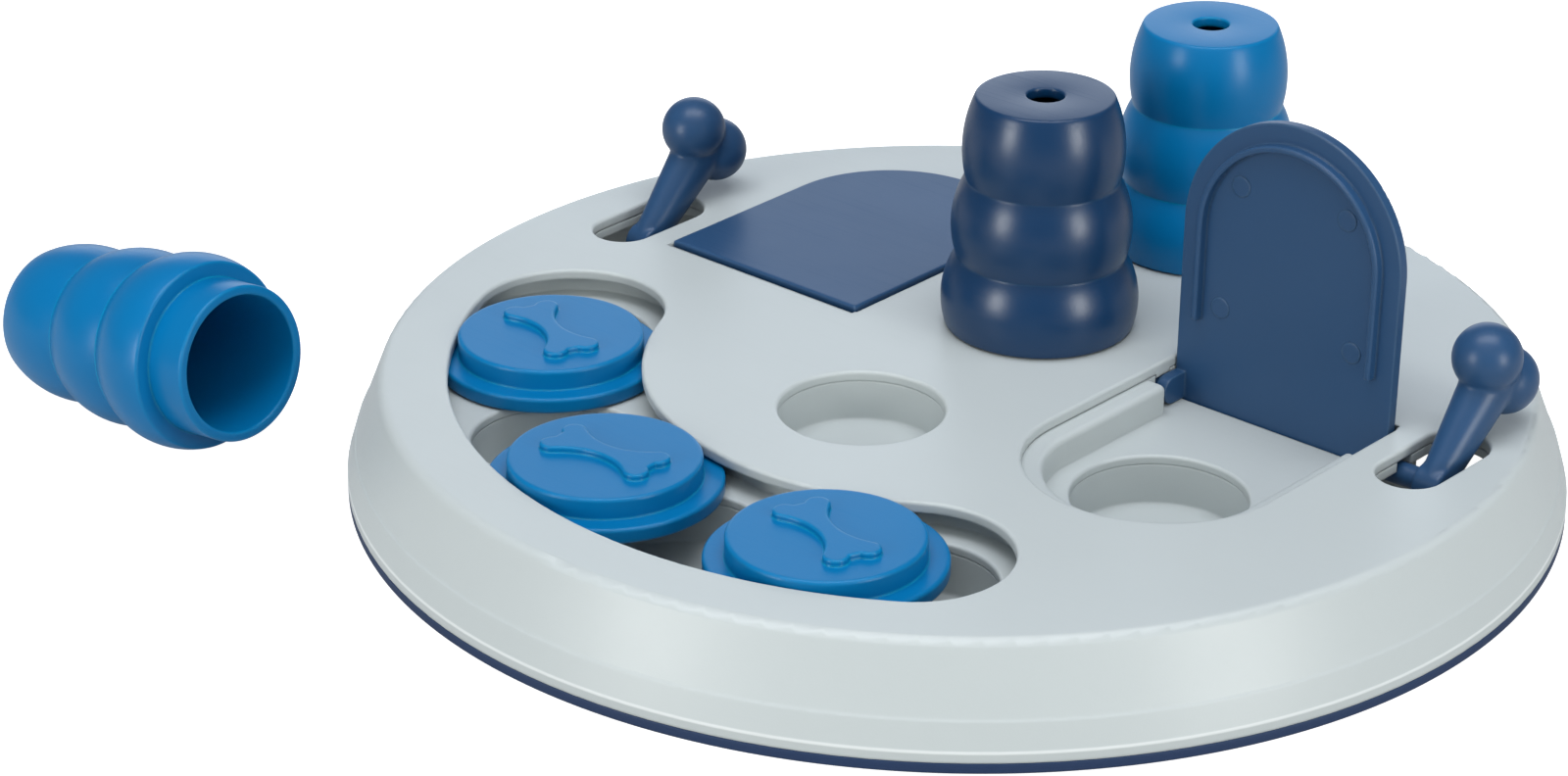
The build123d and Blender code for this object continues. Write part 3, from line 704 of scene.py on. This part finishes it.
# ---------------------------------------------------------------- pieces
class FEEDER_OT_board(bpy.types.Operator):
    """Finish the cover, the tray and the mouldings under them, and turn their round wells"""

    bl_idname = "feeder.board"
    bl_label = "Board and wells"

    def execute(self, context):
        for name in COVER_NODES:
            paint(frame["nodes"][name], "cover_plastic")
        wells = context.scene.feeder_wells
        bm = bmesh.new()
        for y in WELL_SHARES:
            self.cup(bm, wells, "cone_wells", 0, y * board_radius, wells.well_radius)
        for turn in (math.radians(TRACK_START + TRACK_STEP * n) for n in range(TRACK_WELLS)):
            self.cup(bm, wells, "treat_wells", TRACK_SHARE * board_radius * math.cos(turn),
                     TRACK_SHARE * board_radius * math.sin(turn), wells.well_radius)
        for side in SIDES:
            middle = node_middle(side + "_pan_cup")
            self.cup(bm, wells, side + "_pan_cup", middle.x, middle.y, wells.pan_well_radius)
        piece = mesh_piece("round_wells", bm, material_of("cover_plastic"), CREASE)
        settle(piece, "board", "cover_plastic", *WELL_NODES)
        return {"FINISHED"}

    @staticmethod
    def cup(bm, wells, node, x, y, radius):
        """One well between the floor and the rim of its node."""
        low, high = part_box(node)
        floor, outer = low.z + wells.wall, radius + wells.wall
        profile = rounded([(0, low.z, 0), (outer, low.z, wells.wall / 2), (outer, high.z, 0),
                           (radius, high.z, 0), (radius, floor, wells.floor_fillet),
                           (0, floor, 0)], 8)
        lathe(bm, profile, wells.sides, Matrix.Translation((x, y, 0)))


class FEEDER_OT_grip_ring(bpy.types.Operator):
    """Sweep the rubber grip ring's profile round the foot of the board"""

    bl_idname = "feeder.grip_ring"
    bl_label = "Grip ring"

    def execute(self, context):
        ring = context.scene.feeder_ring
        low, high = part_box("grip_ring")
        outer = (high.x - low.x) / 2
        foot, crown = low.z, cover_low.z
        tongue_outer = outer - ring.tongue_inset
        corners = [(outer, foot, ring.edge_round), (outer, crown, ring.edge_round / 2),
                   (tongue_outer, crown, 0), (tongue_outer, high.z, 0),
                   (tongue_outer - ring.tongue_width, high.z, 0),
                   (tongue_outer - ring.tongue_width, crown, 0),
                   (outer - ring.width, crown, ring.edge_round / 2),
                   (outer - ring.width, foot, ring.edge_round)]
        outline = bpy.data.curves.new("ring_section", "CURVE")
        spline = outline.splines.new("POLY")
        points = [(x - outer, y) for x, y in rounded(corners)]
        spline.points.add(len(points) - 1)
        for point, (x, y) in zip(spline.points, reversed(points)):
            point.co = (x, -y, 0, 1)
        spline.use_cyclic_u = True
        section = new_object("ring_section", outline)
        piece = grow("grip_ring_swept", swept_ring("grip_rubber"), "grip_rubber",
                     {"Radius": outer, "Segments": ring.sides, "Profile": section})
        bpy.data.objects.remove(section)
        settle(piece, "board", "grip_rubber", "grip_ring")
        return {"FINISHED"}


class FEEDER_OT_screws(bpy.types.Operator):
    """Set the cover screws round the foot flange"""

    bl_idname = "feeder.screws"
    bl_label = "Cover screws"

    def execute(self, context):
        screw = context.scene.feeder_screws
        low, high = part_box("cover_screws")
        seat = low.z + screw.head_height
        tip = screw.shank_radius * 0.25
        bm = bmesh.new()
        rings = [(screw.socket_radius, low.z + screw.socket_depth, True),
                 (screw.socket_radius, low.z, True),
                 (screw.head_radius - screw.head_height / 2, low.z, False),
                 (screw.head_radius - screw.head_height / 6, low.z + screw.head_height / 6, False),
                 (screw.head_radius, low.z + screw.head_height / 2, False),
                 (screw.head_radius, seat, False), (screw.shank_radius, seat, False),
                 (screw.shank_radius, high.z - 2 * screw.shank_radius, False),
                 (tip, high.z, False)]
        self.stack(bm, rings, screw.sides)
        model = mesh_piece("screw_model", bm, material_of("screw_steel"), CREASE)
        circle = (high.x - low.x) / 2 - screw.head_radius
        circle /= max(abs(math.cos(screw.first_angle + n * math.tau / screw.count))
                      for n in range(screw.count))
        piece = grow("cover_screws_set", round_row("screw_steel"), "screw_steel",
                     {"Count": screw.count, "Radius": circle,
                      "First angle": screw.first_angle, "Piece": model})
        bpy.data.objects.remove(model)
        settle(piece, "board", "screw_steel", "cover_screws")
        return {"FINISHED"}

    @staticmethod
    def stack(bm, rings, sides):
        """Closed solid of rings (radius, height, hexagonal), capped at both ends."""
        loops = []
        for radius, height, hexagonal in rings:
            loop = []
            for turn in (math.tau * n / sides for n in range(sides)):
                reach = radius
                if hexagonal:
                    reach *= math.cos(math.pi / 6) / math.cos(turn % (math.pi / 3) - math.pi / 6)
                loop.append(bm.verts.new((reach * math.cos(turn), reach * math.sin(turn),
                                          height)))
            loops.append(loop)
        for lower, upper in zip(loops, loops[1:]):
            for n in range(sides):
                m = (n + 1) % sides
                bm.faces.new((lower[n], lower[m], upper[m], upper[n]))
        bm.faces.new(loops[0])
        bm.faces.new(loops[-1])


class FEEDER_OT_discs(bpy.types.Operator):
    """Finish the three sliding discs with their raised bones"""

    bl_idname = "feeder.discs"
    bl_label = "Sliding discs"

    def execute(self, context):
        for name in DISC_NODES:
            paint(frame["nodes"][name], "blue_plastic")
        return {"FINISHED"}


class FEEDER_OT_cones(bpy.types.Operator):
    """Turn the three ringed cones"""

    bl_idname = "feeder.cones"
    bl_label = "Cones"

    def execute(self, context):
        cone = context.scene.feeder_cone
        tilt = math.asin((cone.bulge_radii[0] - cone.bulge_radii[2])
                         / (cone.bulge_heights[2] - cone.bulge_heights[0]))
        lying = (Matrix.Rotation(LOOSE_HEADING, 4, "Z")
                 @ Matrix.Rotation(math.pi / 2 + tilt, 4, "Y"))
        for name, (body, slot) in CONE_NODES.items():
            bm = bmesh.new()
            lathe(bm, self.profile(cone), cone.sides,
                  lying if name == "loose_blue_cone" else None)
            shift_to_node(bm, name)
            settle(mesh_piece(name + "_turned", bm, material_of(slot), CREASE), body, slot, name)
        return {"FINISHED"}

    @staticmethod
    def profile(cone):
        """Closed section of a hollow cone, from its top hole round by the outside."""
        seats = [(cone.base_radius, 0), *zip(cone.groove_radii, cone.groove_heights),
                 (cone.top_radius, cone.height)]
        outside = []
        for upper, bulge, lower in zip(seats[:0:-1], reversed(list(zip(
                cone.bulge_radii, cone.bulge_heights))), seats[-2::-1]):
            outside += arc_through(upper, bulge, lower, cone.ring_steps)[1:]
        inner = cone.spigot_radius - cone.wall
        ceiling = cone.height - cone.wall
        corners = [(cone.hole_radius, cone.height, cone.edge_round),
                   (cone.top_radius, cone.height, 2 * cone.edge_round),
                   *((x, y, 0) for x, y in outside[:-1]),
                   (cone.base_radius, 0, 1.5 * cone.edge_round),
                   (cone.spigot_radius, 0, 0),
                   (cone.spigot_radius, -cone.spigot, 1.5 * cone.edge_round),
                   (inner, -cone.spigot, 1.5 * cone.edge_round),
                   (inner - cone.inner_taper, ceiling, cone.wall / 2),
                   (cone.hole_radius, ceiling, 0)]
        return rounded(corners)


class FEEDER_OT_flaps(bpy.types.Operator):
    """Finish both flaps and add the marks of the moulding pins"""

    bl_idname = "feeder.flaps"
    bl_label = "Flaps"

    def execute(self, context):
        flap = context.scene.feeder_flap
        marks = pin_marks("flap_plastic")
        for side, facing, swing in (("left", 0, 0), ("right", math.pi, FLAP_SWING)):
            paint(frame["nodes"][side + "_flap"], "flap_plastic")
            hinge = next(Vector(joint["pos_m"]) for joint in frame["joints"]
                         if joint["name"] == side + "_flap_hinge")
            place = (Matrix.Translation(hinge) @ Matrix.Rotation(facing, 4, "Z")
                     @ Matrix.Rotation(swing, 4, "X"))
            piece = grow(side + "_flap_marks", marks, "flap_plastic",
                         {"Across": 2 * flap.mark_spread, "Along": flap.mark_pitch,
                          "Lean": flap.mark_lean, "Middle": flap.mark_middle,
                          "Level": flap.inner_face, "Radius": flap.mark_radius,
                          "Height": flap.mark_height})
            piece.data.transform(place)
            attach(piece, side + "_flap_body")
        return {"FINISHED"}


class FEEDER_OT_levers(bpy.types.Operator):
    """Skin both bone-headed levers with soft creases"""

    bl_idname = "feeder.levers"
    bl_label = "Levers"

    def execute(self, context):
        lever = context.scene.feeder_lever
        for side in SIDES:
            skinned = welded_copy(side + "_lever", side + "_lever_core")
            remesh = skinned.modifiers.new("skin", "REMESH")
            remesh.mode = "VOXEL"
            remesh.voxel_size = lever.skin
            smooth = skinned.modifiers.new("blend", "SMOOTH")
            smooth.factor = 0.5
            smooth.iterations = lever.blend
            piece = bake(skinned, side + "_lever_skin")
            paint(piece, "flap_plastic")
            piece.data.shade_smooth()
            settle(piece, side + "_flap_body", "navy_plastic", side + "_lever")
        return {"FINISHED"}


def direction(azimuth, elevation):
    """Unit vector at an azimuth round from +X and an elevation, degrees."""
    turn, rise = math.radians(azimuth), math.radians(elevation)
    return Vector((math.cos(turn) * math.cos(rise), math.sin(turn) * math.cos(rise),
                   math.sin(rise)))


def softbox(name, bearing, elevation, distance, width, height, power, rgb):
    """Area light aimed at the board, by degrees round from the camera and degrees up."""
    light = bpy.data.lights.new(name, "AREA")
    light.shape = "RECTANGLE"
    light.size, light.size_y = width, height
    light.energy = power
    light.color = rgb
    holder = new_object(name, light)
    toward = direction(CAMERA_BEARING + bearing, elevation)
    holder.location = toward * distance
    holder.rotation_euler = toward.to_track_quat("Z", "Y").to_euler()
    return holder


class FEEDER_OT_stage(bpy.types.Operator):
    """Set the pale floor, the soft lights and the camera"""

    bl_idname = "feeder.stage"
    bl_label = "Stage, lights and camera"

    def execute(self, context):
        scene = context.scene
        stage = scene.feeder_stage
        self.table(stage)
        self.studio(scene, stage)
        for name, *place, power, rgb, mirrored in SOFTBOXES:
            box = softbox(name, *place, getattr(stage, power), rgb)
            box.visible_glossy = mirrored
        camera = bpy.data.cameras.new("camera")
        camera.lens = CAMERA_LENS
        camera.sensor_width = 36.0
        camera.clip_start = 0.01
        holder = new_object("camera", camera)
        holder.location = CAMERA_PLACE
        holder.rotation_euler = [math.radians(angle) for angle in CAMERA_TURN]
        scene.camera = holder
        scene.view_settings.view_transform = "Standard"
        scene.view_settings.look = "None"
        return {"FINISHED"}

    @staticmethod
    def table(stage):
        """Lit table, brighter to the camera than to the toy."""
        bm = bmesh.new()
        bmesh.ops.create_grid(bm, x_segments=1, y_segments=1, size=FLOOR_SIZE,
                              matrix=Matrix.Translation((0, 0, -FLOOR_GAP)))
        material = bpy.data.materials.new("studio floor")
        material.use_nodes = True
        tree = material.node_tree
        seen = tree.nodes.new("ShaderNodeLightPath").outputs["Is Camera Ray"]
        glow = add(tree, "ShaderNodeMapRange",
                   {"Value": seen, "To Min": stage.floor_bounce, "To Max": stage.floor_glow})
        shader = tree.nodes["Principled BSDF"]
        shader.inputs["Base Color"].default_value = (*stage.floor_colour, 1)
        shader.inputs["Roughness"].default_value = 0.9
        shader.inputs["Specular IOR Level"].default_value = 0.1
        shader.inputs["Emission Color"].default_value = (1, 1, 1, 1)
        tree.links.new(glow.outputs["Result"], shader.inputs["Emission Strength"])
        floor = mesh_piece("studio_floor", bm, material)

    @staticmethod
    def studio(scene, stage):
        """Dim room with a bright backdrop behind the object."""
        scene.world = scene.world or bpy.data.worlds.new("studio")
        scene.world.use_nodes = True
        tree = scene.world.node_tree
        around = tree.nodes.new("ShaderNodeTexCoord").outputs["Generated"]
        facing = add(tree, "ShaderNodeVectorMath",
                     {0: around, 1: direction(CAMERA_BEARING + 180, BACKDROP_RISE)},
                     operation="DOT_PRODUCT")
        fade = add(tree, "ShaderNodeMapRange",
                   {"Value": facing.outputs["Value"], "From Min": BACKDROP_EDGE[0],
                    "From Max": BACKDROP_EDGE[1], "To Min": stage.room,
                    "To Max": stage.backdrop},
                   interpolation_type="SMOOTHSTEP")
        background = tree.nodes["Background"]
        background.inputs["Color"].default_value = STUDIO_COLOUR
        tree.links.new(fade.outputs["Result"], background.inputs["Strength"])


class FEEDER_PT_panel(bpy.types.Panel):
    """Lists what the add-on makes, with the settings of each"""

    bl_idname = "FEEDER_PT_panel"
    bl_label = "Puzzle Feeder"
    bl_space_type = "VIEW_3D"
    bl_region_type = "UI"
    bl_category = "Puzzle Feeder"

    def draw(self, context):
        for operator in OPERATORS:
            self.layout.operator(operator.bl_idname)
        for key in SETTINGS:
            box = self.layout.box()
            group = getattr(context.scene, key)
            for prop in group.bl_rna.properties:
                if prop.identifier not in ("rna_type", "name"):
                    box.prop(group, prop.identifier)


OPERATORS = (FEEDER_OT_board, FEEDER_OT_grip_ring, FEEDER_OT_screws, FEEDER_OT_discs,
             FEEDER_OT_cones, FEEDER_OT_flaps, FEEDER_OT_levers, FEEDER_OT_stage)
CLASSES = (*SETTINGS.values(), *OPERATORS, FEEDER_PT_panel)


def register():
    for cls in CLASSES:
        bpy.utils.register_class(cls)
    for key, cls in SETTINGS.items():
        setattr(bpy.types.Scene, key, PointerProperty(type=cls))


def unregister():
    for key in SETTINGS:
        delattr(bpy.types.Scene, key)
    for cls in reversed(CLASSES):
        bpy.utils.unregister_class(cls)


def main():
    register()
    for operator in OPERATORS:
        group, action = operator.bl_idname.split(".")
        getattr(getattr(bpy.ops, group), action)()


if __name__ == "__main__":
    main()
